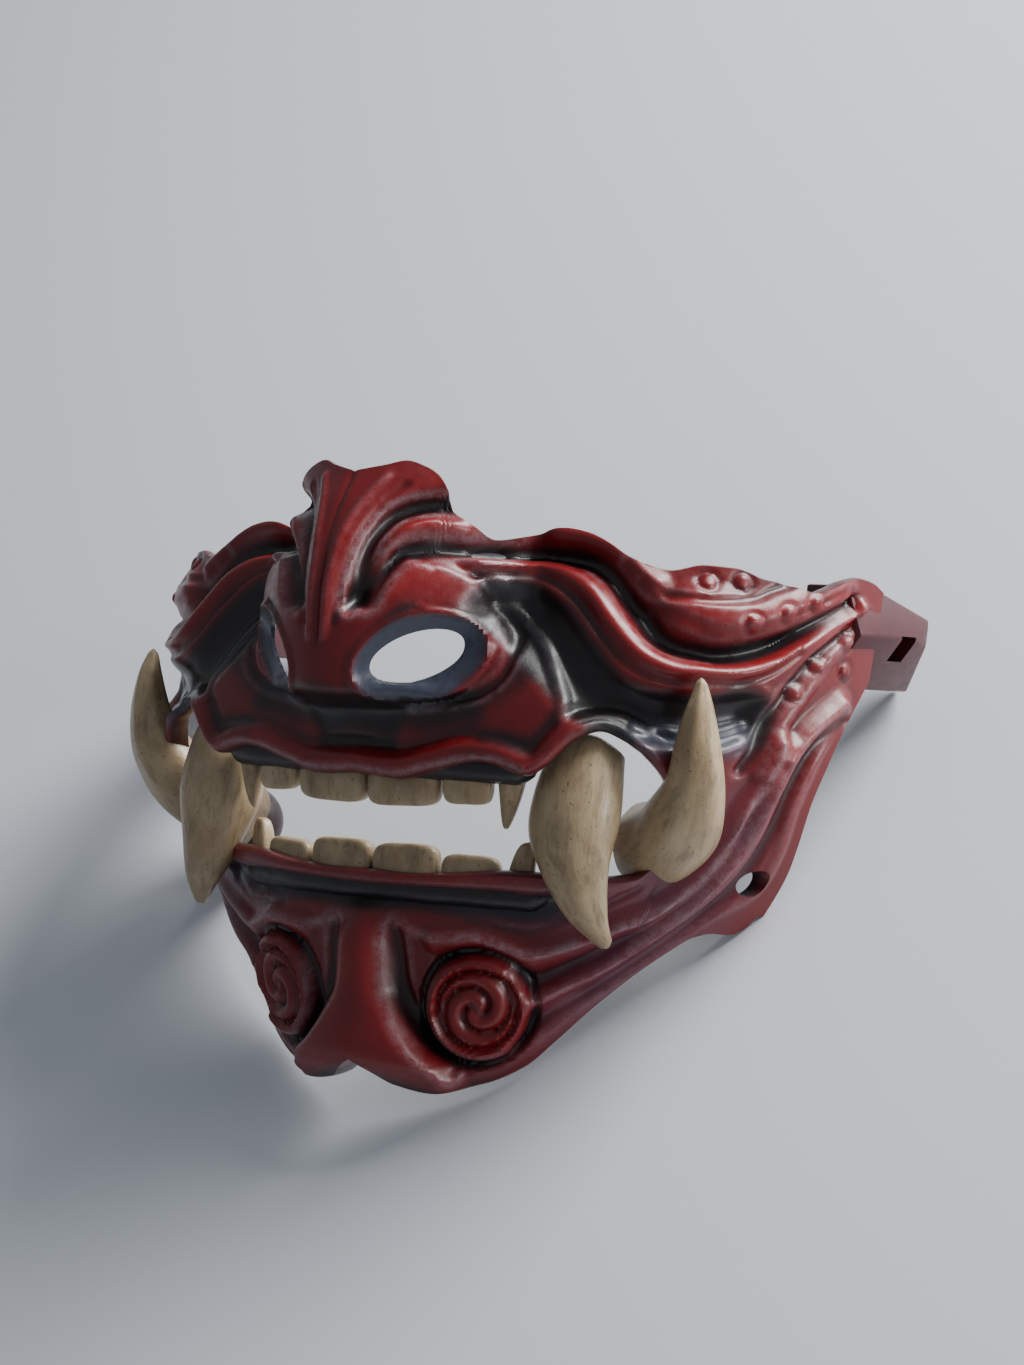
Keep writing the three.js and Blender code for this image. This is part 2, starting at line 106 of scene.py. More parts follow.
def outward(angle, height):
    across = plainFace(angle + 1.5, height) - plainFace(angle - 1.5, height)
    up = plainFace(angle, height + 2.5) - plainFace(angle, height - 2.5)
    normal = np.cross(across, up)
    return normal / np.linalg.norm(normal, axis=-1, keepdims=True)


# outlines of the shell, as (degrees from the middle, height)
outline = {
    "top": track([(0, 80.4), (4.2, 82), (6.8, 83.2), (9.2, 82), (11, 80), (12.2, 76.4), (13, 72.4),
                  (14.5, 69.5), (17.2, 66.8), (20.2, 68.2), (24.2, 69.2), (27, 68.4), (29.8, 66.4),
                  (32.8, 63.4), (36, 61.7), (38, 61.2), (42, 62.8), (46.8, 62.4), (50, 60.5), (54, 59.4),
                  (57.5, 58), (60, 59.3), (62.5, 61.2), (66, 62.4), (69.5, 61.6), (72, 59.8)]),
    "upperLip": track([(0, 11.4), (7, 10.6), (12.5, 12.8), (19.8, 15.6), (26, 13.2), (28.6, 16.2),
                       (31.5, 22), (34.5, 24.4), (37.5, 22.6), (40.4, 19), (43.4, 13.5), (45.5, 5)]),
    "lowerLip": track([(0, -12), (7, -12.3), (14.3, -11.6), (25, -10.2), (37, -10.6), (42, -9.4),
                       (44.6, -4), (45.5, 5)]),
    "seam": track([(45.5, 5), (66, 8)]),
    "bottom": track([(0, -54.2), (2.5, -56.5), (6.5, -60.4), (13, -62), (22, -59.4), (29, -54.8),
                     (34.8, -47.2), (40, -39.4), (45, -32), (50, -25.8), (53, -22.8), (56, -21.8),
                     (59, -22), (61, -20.8), (62.5, -17.5)]),
    "rear": track([(-23, 62.5), (-14, 64.2), (-6, 65), (8, 65.3), (20, 66.8), (30, 69.2), (39, 72)]),
    "cornerAngle": 45.5, "cornerHeight": 5,
}

cheekHollow = [(21, 51), (24.5, 46), (29.5, 38), (34, 31), (39, 28), (46, 27.4), (51, 29)]
lipFold = [(0, -17.6), (8, -17.2), (21, -17), (28, -17.6), (34, -15.6)]

# The main forms, as in the frame: half width, lift and path of each, in (degrees, height).
mainForms = [
    (4.2, -2.4, [(4.6, 50.4), (5.2, 58.4), (6, 65.6), (7.4, 70.4), (10, 73), (12.8, 73.6)]),
    (4.4, -2.6, [(6, 52), (8.8, 61.6), (11.5, 64), (17.8, 64.2), (26.3, 63.6), (30.8, 60.4), (35.8, 52),
                 (39.8, 46), (44.5, 43.8), (48.2, 43.4), (56, 47.6), (65, 56)]),
    (4.6, 1.6, [(22, 58.6), (28.6, 54.6), (33, 47), (37.2, 40.6), (41.2, 37.6), (44.8, 37.2), (50, 37.6),
                (53.8, 40), (57.5, 45), (61.8, 50.4), (66.8, 54.6)]),
    (9, -4.2, cheekHollow),
    (5, 2, [(23, 68.6), (27, 67.4), (30, 64.4), (33.2, 60.4), (36.2, 57.2)]),
    (8, 2.8, [(42, 53), (49, 51), (55, 54), (62, 58)]),
    (3.6, 1.8, [(0, 14.6), (7, 14), (12, 16), (17, 18.4), (22, 18), (26.5, 15.8), (28.2, 18.8),
                (30.2, 23.6), (33, 26.4), (35, 27), (37.2, 26), (40, 22.4), (43.5, 15.4)]),
    (4.6, -2.8, lipFold),
    (4.4, 2.2, [(13, -26.4), (20, -25.2), (25, -27.4), (29, -28.4), (36, -24.4), (41, -20.4), (46, -16.4),
                (50.3, -9.6), (52.8, -1.6), (54.5, 6.8), (56.5, 14.8), (57.5, 23.2)]),
    (4.8, 2.4, [(31, -39), (39.2, -31), (46.6, -21.6), (51.8, -13), (56, -1.2), (57.8, 8), (58.5, 17.2),
                (61.5, 25.6), (66.2, 33)]),
]

# The finer carving: half width, lift, how much silver wear and painted sheen its edges (or crest) show, and
# path.
fineForms = [
    (1.2, 0.9, 0.25, [(1.1, 42), (1.3, 56), (2, 66), (3.4, 73.6), (5, 79)]),
    (1, -0.9, 0, [(2.5, 45), (3, 57), (4, 66), (5.6, 73), (7.6, 77.5)]),
    (0.8, -0.6, 0, [(0, 40), (0, 80)]),
    (1.7, -1.3, 0.9, [(4.4, 49), (5, 58.4), (5.8, 65.6), (7.3, 70.8), (9.6, 73.2), (12.4, 73.8)]),
    (1.4, 0.8, 0, [(6.6, 51), (7.6, 60), (9.2, 67), (11, 69.2), (13.4, 68.6)]),
    (2, -1.6, 0.75, [(6.4, 50), (7.6, 56.4), (9.2, 61.6), (11.5, 63.8), (15, 64), (18, 64.4)]),
    (2.3, -1.7, 0, [(17, 64.4), (21, 64.8), (26.3, 64), (30.8, 60.8), (35.8, 52), (39.8, 45.6),
                    (44.5, 43.2), (48.2, 42.8), (52, 44.4), (56, 47.2), (60.3, 51.6), (65, 56)]),
    (0.8, 0.5, 0.5, [(27, 61.6), (30, 58), (33, 52), (36, 46.4), (41, 42), (46, 41)]),
    (2, 1.5, 0, [(16.5, 61.4), (19.8, 61.8), (24, 61), (28.8, 56.2), (33, 48.8), (37.2, 42.4), (41.2, 39.4),
                 (44.8, 39), (50, 39.4), (53.8, 41.8), (57.5, 46.6), (61.8, 51.8), (66.8, 56)]),
    (1.2, -1.2, 0, [(17, 58.4), (20.2, 58.8), (23.5, 57.6), (28.2, 52.8), (32.5, 45.2), (37, 38.8),
                    (41.5, 36.4), (45.2, 36.4), (50.3, 36.9), (54, 39.4), (57.2, 44)]),
    (1.5, 1.1, 0, [(22.5, 56), (26.3, 52.4), (30.5, 45.4), (33.8, 39.6), (38, 35), (43, 33.4), (48, 33.6),
                   (53.8, 35)]),
    (1.6, 1.3, 0.3, [(20.5, 51.4), (22.2, 48.6), (25, 43.6), (27.4, 37), (29.2, 31), (29.6, 26.6)]),
    (1.2, 1, 0.4, [(39, 21.4), (44, 20.6), (49, 20.8), (52, 22.8)]),
    (1.3, 0.9, 0.35, [(38.6, 25.4), (44, 24.8), (48.6, 25), (52.4, 27)]),
    (2, -0.5, 0, [(0, 17.8), (7, 17.2), (12, 19.4), (17, 21.6), (22, 21), (25.6, 19.2), (27, 22),
                  (29, 26.6), (32.6, 29.6), (35, 30.2), (38, 29), (41.4, 24.6), (44.6, 17.4)]),
    (1.1, 0.6, 0.8, [(0, 12.6), (7, 11.9), (12.5, 14.1), (19.8, 16.8), (25.6, 14.6)]),
    (1.2, 0.9, 0.25, [(26, 14.4), (28.4, 17.4), (31.3, 23.2), (34.5, 25.6), (37.6, 23.8), (40.6, 20.2),
                      (43.4, 14.8)]),
    (1.3, -1.1, 0.5, [(32.6, 62), (36.2, 56.8), (39.5, 55), (44, 54.4), (49, 55.6), (51.5, 57.8),
                      (54, 59.6)]),
    (1.2, -0.8, 0.25, [(35, 58), (38, 52.6), (42, 49.4), (46.6, 47.4), (51.2, 49), (56, 53), (60.8, 57.4),
                       (64, 59.6)]),
    (1.6, -1.5, 0.2, [(52.6, 17), (54.6, 24.4), (56, 31), (58.4, 38.4), (61.6, 45), (66, 51.6), (69, 54)]),
    (1.7, 1, 0.35, [(55.2, 16.6), (57, 25), (58.6, 31), (61, 37.4), (63.4, 43.8), (67.4, 50)]),
    (1.6, 0.5, 0.25, [(0, -13.6), (7, -14), (14.3, -13.4), (25, -12.2), (31, -12.6), (37, -12.2),
                      (41.6, -10)]),
    (1.1, -0.7, 0, [(18, -21.4), (24, -22.4), (29, -22.4), (34, -19), (38.6, -15.6), (42.6, -11.6)]),
    (1.3, 0.9, 0.95, [(6.2, -23.6), (12.8, -25.6), (20.2, -24.2), (25.2, -26.4), (29, -27.6), (35.8, -23.8),
                      (40.8, -19.8), (45.8, -15.8), (50.3, -9), (52.8, -1.4), (54.4, 7), (56.2, 14.8),
                      (57.2, 23.2)]),
    (2, -1.4, 0, [(26, -33.4), (30.6, -34), (36, -29.8), (41.6, -24.8), (45.8, -19.6), (48.9, -13.8),
                    (52.8, -3.6), (55, 3.6), (56, 10.8), (57.4, 18)]),
    (1.7, 1, 0.55, [(29.8, -38.8), (39.2, -30.4), (46.2, -20.6), (50.8, -12.2), (54.8, -1.4), (56.8, 8),
                    (58, 17.2), (61, 25.6), (66.2, 33.2)]),
    (2.6, -1.6, 0, [(27, -48.6), (33.4, -38.6), (39.5, -33.8), (47, -25.4), (52, -18.6), (56.6, -9.6),
                    (59, 1.2), (60.4, 12.8), (62.9, 23.2), (67.2, 29.6)]),
    (1.8, 0.9, 0.35, [(15, -59), (22, -56.4), (28.4, -51), (34.4, -43.8), (42, -34.2), (49.4, -24.4),
                      (54.4, -18), (60, -12), (62, -2), (62.4, 9), (64.4, 22), (68, 31.6)]),
    (2.6, -1.5, 0.6, [(6, -25.6), (6.4, -30), (6.8, -35), (7.6, -39.6), (9.4, -44.6), (12.6, -50.8),
                      (16.4, -56)]),
    (1.5, -1.3, 0.4, [(11.2, 61.2), (14.3, 60.4), (17.6, 57), (20, 51.8), (21.2, 45.6), (21.4, 40),
                      (20.4, 34.4), (17.6, 30.6), (13.6, 29), (9.6, 28)]),
]

# Painted shade where no groove makes it, under the nose and on the cheeks beside it: half width, how much,
# and path.
shades = [
    (7, 0.62, [(0, 27.6), (9, 26), (17, 27.4)]),
    (4.5, 0.5, [(7.6, 30), (8, 38), (9.4, 45), (11, 49)]),
    (5, 0.35, [(17, 28.4), (22, 33), (24, 40)]),
    (5, 0.3, [(20, 20), (26, 20.4), (29, 26)]),
]
carving = {"width": 1.25, "depth": 0.8}  # of every finer form
domes = [(43, 59.2), (47.4, 59.6), (49.8, 49.8), (54.2, 52.6), (58, 55.6), (65.5, 47.6), (61.2, 42),
         (58.3, 35.4), (66.5, 40.8)]
dome = {"radius": 1.9, "lift": 0.65, "ring": 1, "ringGap": 0.5, "ringDepth": 0.3}
mound = {
    "edge": track([(-60, 17.5), (-56, 16.5), (-51, 12), (-44, 8), (-38, 5.6), (-26, 4.4), (-22, 2.6)]),
    "lift": track([(-62, 3), (-54, 7.4), (-40, 5), (-26, 3.4), (-21, 1.6), (-18, 0)]),
    "round": 2.2, "roundFrom": (-60, -50), "roundTo": (-30, -20), "within": 3.5, "beyond": 3,
}
rosette = {  # each ring is a radius and a spread
    "angle": 20.7, "height": -41.4, "scale": 1.42, "radius": 12.6, "lift": 3, "liftFall": (0.75, 1.15),
    "swirl": 1.9, "pitch": 5, "swirlEnd": (8, 9.2), "swirlStart": (0.4, 1.8),
    "rim": (11, 2.6), "rimLift": 1.2, "groove": (9.2, 1.2), "grooveDepth": 1.1,
    # the worn ring carries a crescent of painted highlight on one side of the rim
    "moat": (13.6, 2), "moatDepth": 1.3, "worn": (12.2, 1.6), "crescentSheen": 0.9,
}
nostril = {"long": 11.2, "short": 5.6, "at": (19.5, -8.5, 38.6), "facing": (0.8, -0.6, -0.35),
           "along": (14.5, 14.5, 8.5), "bevel": 4.4, "depth": 2.4, "lip": 0.7, "near": 14}
philtrum = {"edge": track([(15.5, 5.8), (24, 6.8), (28.6, 9.2)]), "low": 16.4, "high": 28, "sink": 0.7}
# how far the shading reaches from each of these, in millimetres
shadeWidths = {"cheekHollow": 13, "lipFold": 7.5, "lowerCheek": 5.5, "nostrilRing": 4}
lowerCheek = [(40, 23), (46, 22.4), (51, 24)]


def curveThrough(points, steps):  # a smooth flat curve through points
    points = np.array(points, float)
    last = len(points) - 1
    made = []
    for i in range(last):
        a, b, c, d = points[max(i - 1, 0)], points[i], points[i + 1], points[min(i + 2, last)]
        for t in np.arange(steps) / steps:
            start, end = (c - a) / 2, (d - b) / 2
            made.append(b + start * t + (3 * (c - b) - 2 * start - end) * t * t
                        + (2 * (b - c) + start + end) * t ** 3)
    made.append(points[last])
    return np.array(made)


def distanceTo(path, x, y):  # to a path in (degrees, height), in millimetres
    line = curveThrough([(a * face["girthScale"], h) for a, h in path], 4)
    best = np.full(x.shape, 1e9)
    for (x0, y0), (x1, y1) in zip(line[:-1], line[1:]):
        dx, dy = x1 - x0, y1 - y0
        t = np.clip(((x - x0) * dx + (y - y0) * dy) / (dx * dx + dy * dy), 0, 1)
        best = np.minimum(best, (x - x0 - t * dx) ** 2 + (y - y0 - t * dy) ** 2)
    return np.sqrt(best)


def nostrilAxes():
    facing = np.array(nostril["facing"]) / np.linalg.norm(nostril["facing"])
    along = np.array(nostril["along"]) - facing * np.dot(nostril["along"], facing)
    along = along / np.linalg.norm(along)
    return facing, along, np.cross(facing, along)


def ringAt(out, radius, spread):  # 1 on a circle, falling to 0 on both sides of it
    return np.clip(1 - (out - radius) ** 2 / spread, 0, 1)


def carveForms(across, height, lift):
    for half, rise, path in mainForms:
        reach = distanceTo(path, across, height) / half
        lift += rise * np.clip(1 - reach * reach, 0, 1) ** 2


def carveMound(side, height, lift):
    edge = mound["edge"](height)
    roundness = np.clip(1 - (side / np.maximum(edge, 1)) ** 2, 0, 1)
    lift += (mound["round"] * roundness * smoothStep(*mound["roundFrom"], height)
             * (1 - smoothStep(*mound["roundTo"], height)))
    lift += mound["lift"](height) * (1 - smoothStep(edge - mound["within"], edge + mound["beyond"], side))


def carveFineForms(across, height, lift, wearAndSheen):
    for half, rise, worn, path in fineForms:
        reach = distanceTo(path, across, height) / (half * carving["width"])
        lift += rise * carving["depth"] * np.clip(1 - reach * reach, 0, 1) ** 1.5
        if worn:
            line = reach if rise > 0 else np.abs(reach - 1.05) * 1.6  # a ridge wears, and takes its painted sheen, on its crest
            np.maximum(wearAndSheen, worn * np.clip(1 - line, 0, 1), out=wearAndSheen)


def carveRosette(side, height, lift, wearAndSheen):
    u = (side - rosette["angle"]) * rosette["scale"]
    v = height - rosette["height"]
    out = np.hypot(u, v)
    far = out / rosette["radius"]
    start, end = rosette["liftFall"]
    lift += np.where(far < end, rosette["lift"] * (1 - smoothStep(start, end, far)), 0)
    phase = 2 * np.arctan2(v, u) - 2 * math.pi * out / rosette["pitch"]
    inside = 1 - smoothStep(*rosette["swirlEnd"], out)
    arms = np.sqrt(0.5 + 0.5 * np.cos(phase)) - 0.6
    lift += rosette["swirl"] * inside * arms * smoothStep(*rosette["swirlStart"], out)
    lift += (rosette["rimLift"] * ringAt(out, *rosette["rim"])
             - rosette["grooveDepth"] * ringAt(out, *rosette["groove"]))
    lift -= rosette["moatDepth"] * ringAt(out, *rosette["moat"])
    # a painted highlight: a crescent on one side of the rosette's rim
    crescent = ringAt(out, *rosette["worn"]) * smoothStep(0.3, -0.9, (u + v) / (out + 1e-6))
    np.maximum(wearAndSheen, rosette["crescentSheen"] * crescent, out=wearAndSheen)


def carveDomes(spots, lift):
    for place in domes:
        gone = np.linalg.norm(spots - plainFace(*place), axis=-1)
        lift += dome["lift"] * np.sqrt(np.clip(1 - (gone / dome["radius"]) ** 2, 0, 1))
        fromRing = (gone - dome["radius"] - dome["ringGap"]) / dome["ring"]
        lift -= dome["ringDepth"] * np.clip(1 - fromRing ** 2, 0, 1)


def nostrilReach(spots):  # how far outside the nostril's edge, and whether near it at all
    facing, along, short = nostrilAxes()
    offset = spots - np.array(nostril["at"])
    a, b = offset @ along, offset @ short
    ratio = np.hypot(a / nostril["long"], b / nostril["short"]) + 1e-6
    return np.hypot(a, b) * (1 - 1 / ratio), np.abs(offset @ facing) < nostril["near"]


def panelAt(side, height):  # 1 on the flat panel under the nose
    edge = philtrum["edge"](height)
    low, high = philtrum["low"], philtrum["high"]
    return ((1 - smoothStep(edge - 0.8, edge + 1.6, side)) * smoothStep(low - 1, low + 2.4, height)
            * (1 - smoothStep(high - 1.6, high + 1.6, height)))


def carve(angle, height):  # lift of the surface everywhere, and where its paint is worn or shaded
    side = np.abs(angle)
    across = side * face["girthScale"]
    spots = plainFace(side, height)
    lift = np.zeros(side.shape)
    wearAndSheen = np.zeros(side.shape)
    carveForms(across, height, lift)
    carveMound(side, height, lift)
    main = lift.copy()
    carveFineForms(across, height, lift, wearAndSheen)
    carveRosette(side, height, lift, wearAndSheen)
    carveDomes(spots, lift)

    beyond, near = nostrilReach(spots)
    bevelWidth = nostril["bevel"]
    bevel = np.where(near, 1 - smoothStep(bevelWidth - 1, bevelWidth + 0.6, beyond), 0)
    sunk = nostril["depth"] * np.clip(1 - beyond / bevelWidth, 0, 1.2)
    lift = np.where(near, lift * (1 - bevel) + bevel * -sunk, lift)
    lift += np.where(near, nostril["lip"] * np.clip(1 - (beyond - bevelWidth - 0.4) ** 2 / 1.2, 0, 1), 0)
    panel = panelAt(side, height)
    lift -= philtrum["sink"] * panel

    def closeness(path, width):  # 1 on a path, 0 past a width from it
        return 1 - distanceTo(path, across, height) / width

    lipHollow = smoothStep(0, 1, closeness(lipFold, shadeWidths["lipFold"]))
    lower = np.clip(closeness(lowerCheek, shadeWidths["lowerCheek"]), 0, 1)
    shade = np.zeros(side.shape)
    for half, amount, path in shades:
        shade = np.maximum(shade, amount * smoothStep(0, 1, closeness(path, half)))
    hollow = smoothStep(0, 1, closeness(cheekHollow, shadeWidths["cheekHollow"]))
    # painted reflection: slate blue on the nostril's bevel, the lower cheek and the sides of the lip fold
    slateReflection = bevel + 1.02 * lower ** 0.7 + 0.5 * lipHollow * smoothStep(10, 22, side)
    ringEnd = bevelWidth + shadeWidths["nostrilRing"]
    return {
        "lift": lift, "main": main, "wearAndSheen": wearAndSheen, "panel": panel, "shade": shade,
        "slateReflection": np.clip(slateReflection, 0, 1),
        "ringShade": np.where(near, 1 - smoothStep(bevelWidth, ringEnd, beyond), 0),
        "hollow": np.clip(hollow * 1.15, 0, 1), "lipHollow": lipHollow,
        # painted sheen: mauve on the sides of the jaw
        "mauveSheen": smoothStep(24, 42, side) * smoothStep(22, 0, height) * smoothStep(62, 54, side),
    }


grid = {"mouthColumns": 132, "jawColumns": 60, "upperRows": 100, "lowerRows": 64, "thinned": 4,
        "rimBulge": 0.5}
paints = {  # plain paint of the parts without carving; the dark red of the rims, gums and sockets is painted shade
    "inside": {"redPaint": 0.12, "wearAndSheenPaint": 0, "slateReflectionPaint": 0.15, "mauveSheenPaint": 0},
    "edge": {"redPaint": 0.5, "wearAndSheenPaint": 0, "slateReflectionPaint": 0, "mauveSheenPaint": 0.2},
    "lug": {"redPaint": 0.5, "wearAndSheenPaint": 0, "slateReflectionPaint": 0.1, "mauveSheenPaint": 0},
    "gum": {"redPaint": 0.12, "wearAndSheenPaint": 0, "slateReflectionPaint": 0.1, "mauveSheenPaint": 0},
    "socket": {"redPaint": 0.2, "wearAndSheenPaint": 0, "slateReflectionPaint": 0, "mauveSheenPaint": 0},
}


def crossing(edge, share):  # the height where a column of the shell crosses an edge
    height = edge(share * outline["rear"](0))
    for _ in range(12):
        height = edge(share * outline["rear"](height))
    return height


def soften(field, times):  # neighbours averaged along columns and rows
    for _ in range(times):
        padded = np.pad(field, 1, mode="edge")
        field = (padded[1:-1, 1:-1] * 2 + padded[:-2, 1:-1] + padded[2:, 1:-1]
                 + padded[1:-1, :-2] + padded[1:-1, 2:]) / 6
    return field


softening = {"broad": 140, "fine": 20}  # rounds of averaging, to tell crests from hollows


def paintFields(made):
    relief = made["lift"]
    crest = relief - soften(relief, softening["broad"])
    fine = relief - soften(relief, softening["fine"])
    red = 0.76 + 0.22 * crest + 0.12 * fine + 0.02 * relief
    red = (red - 0.9 * made["hollow"] - 0.34 * made["panel"] - 0.34 * made["lipHollow"]
           - 0.3 * made["ringShade"] - made["shade"])
    # silver wear and painted sheen, on crests only, kept off the nostril ring
    worn = 0.6 * made["wearAndSheen"] * smoothStep(-0.5, 0.25, crest + 0.3) * (1 - made["ringShade"])
    return {"redPaint": np.clip(red, 0, 1), "wearAndSheenPaint": np.clip(worn, 0, 1), "slateReflectionPaint": made["slateReflection"],
            "mauveSheenPaint": made["mauveSheen"]}


class draft:  # the points, faces and paint of a mesh while it is drawn
    def __init__(self):
        self.spots = []
        self.faces = []
        self.fields = {}

    def add(self, points, paint):  # gives the number of the first point added
        start = sum(len(part) for part in self.spots)
        self.spots.append(points.reshape(-1, 3))
        for name, values in paint.items():
            values = np.broadcast_to(values, points.shape[:-1]).reshape(-1)
            self.fields.setdefault(name, []).append(values)
        return start

    def cover(self, start, wide, tall, turned):  # faces over a grid of points
        i, j = np.meshgrid(np.arange(wide - 1), np.arange(tall - 1), indexing="ij")
        at = start + i * tall + j
        corners = [at, at + tall, at + tall + 1, at + 1]
        if turned:
            corners = corners[:1] + corners[:0:-1]
        self.faces += np.stack(corners, -1).reshape(-1, 4).tolist()

    def edge(self, outside, inside, beside):  # a rounded edge from the outer to the inner surface
        middle = (outside + inside) / 2
        away = outside - beside
        away = away / np.linalg.norm(away, axis=-1, keepdims=True) * grid["rimBulge"]
        starts = []
        for turn in np.radians((45, 90, 135)):
            arc = middle + (outside - middle) * math.cos(turn) + away * math.sin(turn)
            starts.append(self.add(arc[:, None, :], paints["edge"]))
        return starts

    def stitch(self, lines, turned):  # faces between neighbouring lines of points
        for first, second in zip(lines[:-1], lines[1:]):
            for k in range(len(first) - 1):
                quad = [first[k], second[k], second[k + 1], first[k + 1]]
                self.faces.append(quad[::-1] if turned else quad)


def drawHalf(shape, columns, cornerShare, low, high, rows):  # the shell above or below the mouth
    side = np.abs(columns)
    joined = side > cornerShare - 1e-6
    below = low == "bottom"
    bottom = crossing(outline[low], side)
    top = crossing(outline[high], side)
    seam = crossing(outline["seam"], side)
    if below:
        top = np.where(joined, seam, top)
    else:
        bottom = np.where(joined, seam, bottom)
    height = bottom[:, None] + (top - bottom)[:, None] * np.linspace(0, 1, rows + 1)[None, :]
    angle = columns[:, None] * outline["rear"](height)
    made = carve(angle, height)
    normal = outward(angle, height)
    outer = plainFace(angle, height) + normal * made["lift"][..., None]
    step = grid["thinned"]
    depth = np.minimum(0, made["main"]) * face["innerFollow"] - face["wall"]
    inner = (plainFace(angle, height) + normal * depth[..., None])[:, ::step]
    wide, tall, thin = len(columns), rows + 1, inner.shape[1]
    outerStart = shape.add(outer, paintFields(made))
    innerStart = shape.add(inner, paints["inside"])
    shape.cover(outerStart, wide, tall, False)
    shape.cover(innerStart, wide, thin, True)

    mouth = np.nonzero(side < cornerShare + 1e-6)[0]
    for edge, innerEdge, beside, turned in ((0, 0, 2, False), (rows, thin - 1, rows - 2, True)):
        keep = np.arange(wide) if below == (edge == 0) else mouth
        arcs = shape.edge(outer[keep, edge], inner[keep, innerEdge], outer[keep, beside])
        run = np.arange(len(keep))
        lines = [outerStart + keep * tall + edge, *(arc + run for arc in arcs),
                 innerStart + keep * thin + innerEdge]
        shape.stitch([line.tolist() for line in lines], turned)
    for end, beside, turned in ((0, 1, True), (wide - 1, wide - 2, False)):
        back = np.stack([np.interp(np.arange(tall), np.arange(0, tall, step), inner[end, :, k])
                         for k in range(3)], -1)
        arcs = shape.edge(outer[end], back, outer[beside])
        run = np.arange(tall)
        lines = [(start + run).tolist() for start in (outerStart + end * tall, *arcs)]
        shape.stitch(lines, turned)
        for k in range(thin - 1):
            at = innerStart + end * thin + k
            ring = lines[-1][k * step:(k + 1) * step + 1] + [at + 1, at]
            shape.faces.append(ring if turned else ring[::-1])


def buildShell():
    cornerShare = outline["cornerAngle"] / float(outline["rear"](outline["cornerHeight"]))
    half = np.concatenate((np.linspace(0, cornerShare, grid["mouthColumns"] + 1),
                           np.linspace(cornerShare, 1, grid["jawColumns"] + 1)[1:]))
    columns = np.concatenate((-half[:0:-1], half))
    shape = draft()
    drawHalf(shape, columns, cornerShare, "bottom", "lowerLip", grid["lowerRows"])
    drawHalf(shape, columns, cornerShare, "upperLip", "top", grid["upperRows"])
    points = np.concatenate(shape.spots)
    mesh = bpy.data.meshes.new("mask_shell")
    mesh.from_pydata(points.tolist(), [], shape.faces)
    piece = bpy.data.objects.new("mask_shell", mesh)
    bpy.context.collection.objects.link(piece)
    return piece, points, {name: np.concatenate(parts) for name, parts in shape.fields.items()}


def selectOnly(piece):
    bpy.ops.object.select_all(action="DESELECT")
    bpy.context.view_layer.objects.active = piece
    piece.select_set(True)


def openOn(piece):  # the editor open on one piece, with all of it selected
    selectOnly(piece)
    bpy.ops.object.mode_set(mode="EDIT")
    bpy.ops.mesh.select_all(action="SELECT")


def closeEditor():
    bpy.ops.object.mode_set(mode="OBJECT")
    bpy.ops.object.select_all(action="DESELECT")


def getSpots(piece):
    spots = np.empty(len(piece.data.vertices) * 3)
    piece.data.vertices.foreach_get("co", spots)
    return spots.reshape(-1, 3)


def setSpots(piece, spots):
    piece.data.vertices.foreach_set("co", np.asarray(spots, float).reshape(-1))
    piece.data.update()


def setField(piece, name, values):
    layer = piece.data.attributes.get(name) or piece.data.attributes.new(name, "FLOAT", "POINT")
    layer.data.foreach_set("value", np.asarray(values, np.float32))


def paintPlain(piece, paint):
    for name, value in paint.items():
        setField(piece, name, np.full(len(piece.data.vertices), value))


def setGrain(piece, straight):  # where each point would be on the straightened piece
    grain = piece.data.attributes.new("boneGrain", "FLOAT_VECTOR", "POINT")
    grain.data.foreach_set("vector", straight.astype(np.float32).reshape(-1))


def faceOut(piece):
    openOn(piece)
    bpy.ops.mesh.normals_make_consistent(inside=False)
    closeEditor()


def levelOutward(angle, height):  # straight out of the face, without any rise
    ahead = outward(angle, height)
    ahead[:, 2] = 0
    return ahead / np.linalg.norm(ahead, axis=1, keepdims=True)


def finishPiece(piece, material, smooth=180):
    selectOnly(piece)
    piece.matrix_world = layDown @ piece.matrix_world
    bpy.ops.object.transform_apply(location=True, rotation=True, scale=True)
    bpy.ops.object.shade_smooth_by_angle(angle=math.radians(smooth))
    piece.data.materials.clear()
    piece.data.materials.append(material)
    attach(piece, "root")
    bpy.ops.object.select_all(action="DESELECT")


def applyBoolean(piece, tool, operation):
    selectOnly(piece)
    cut = piece.modifiers.new("cut", "BOOLEAN")
    cut.operation = operation
    cut.solver = "MANIFOLD"
    cut.object = tool
    bpy.ops.object.modifier_apply(modifier="cut")
    bpy.data.objects.remove(tool)


def mirrorSpot(at, hand):
    return (at[0] * hand, at[1], at[2])


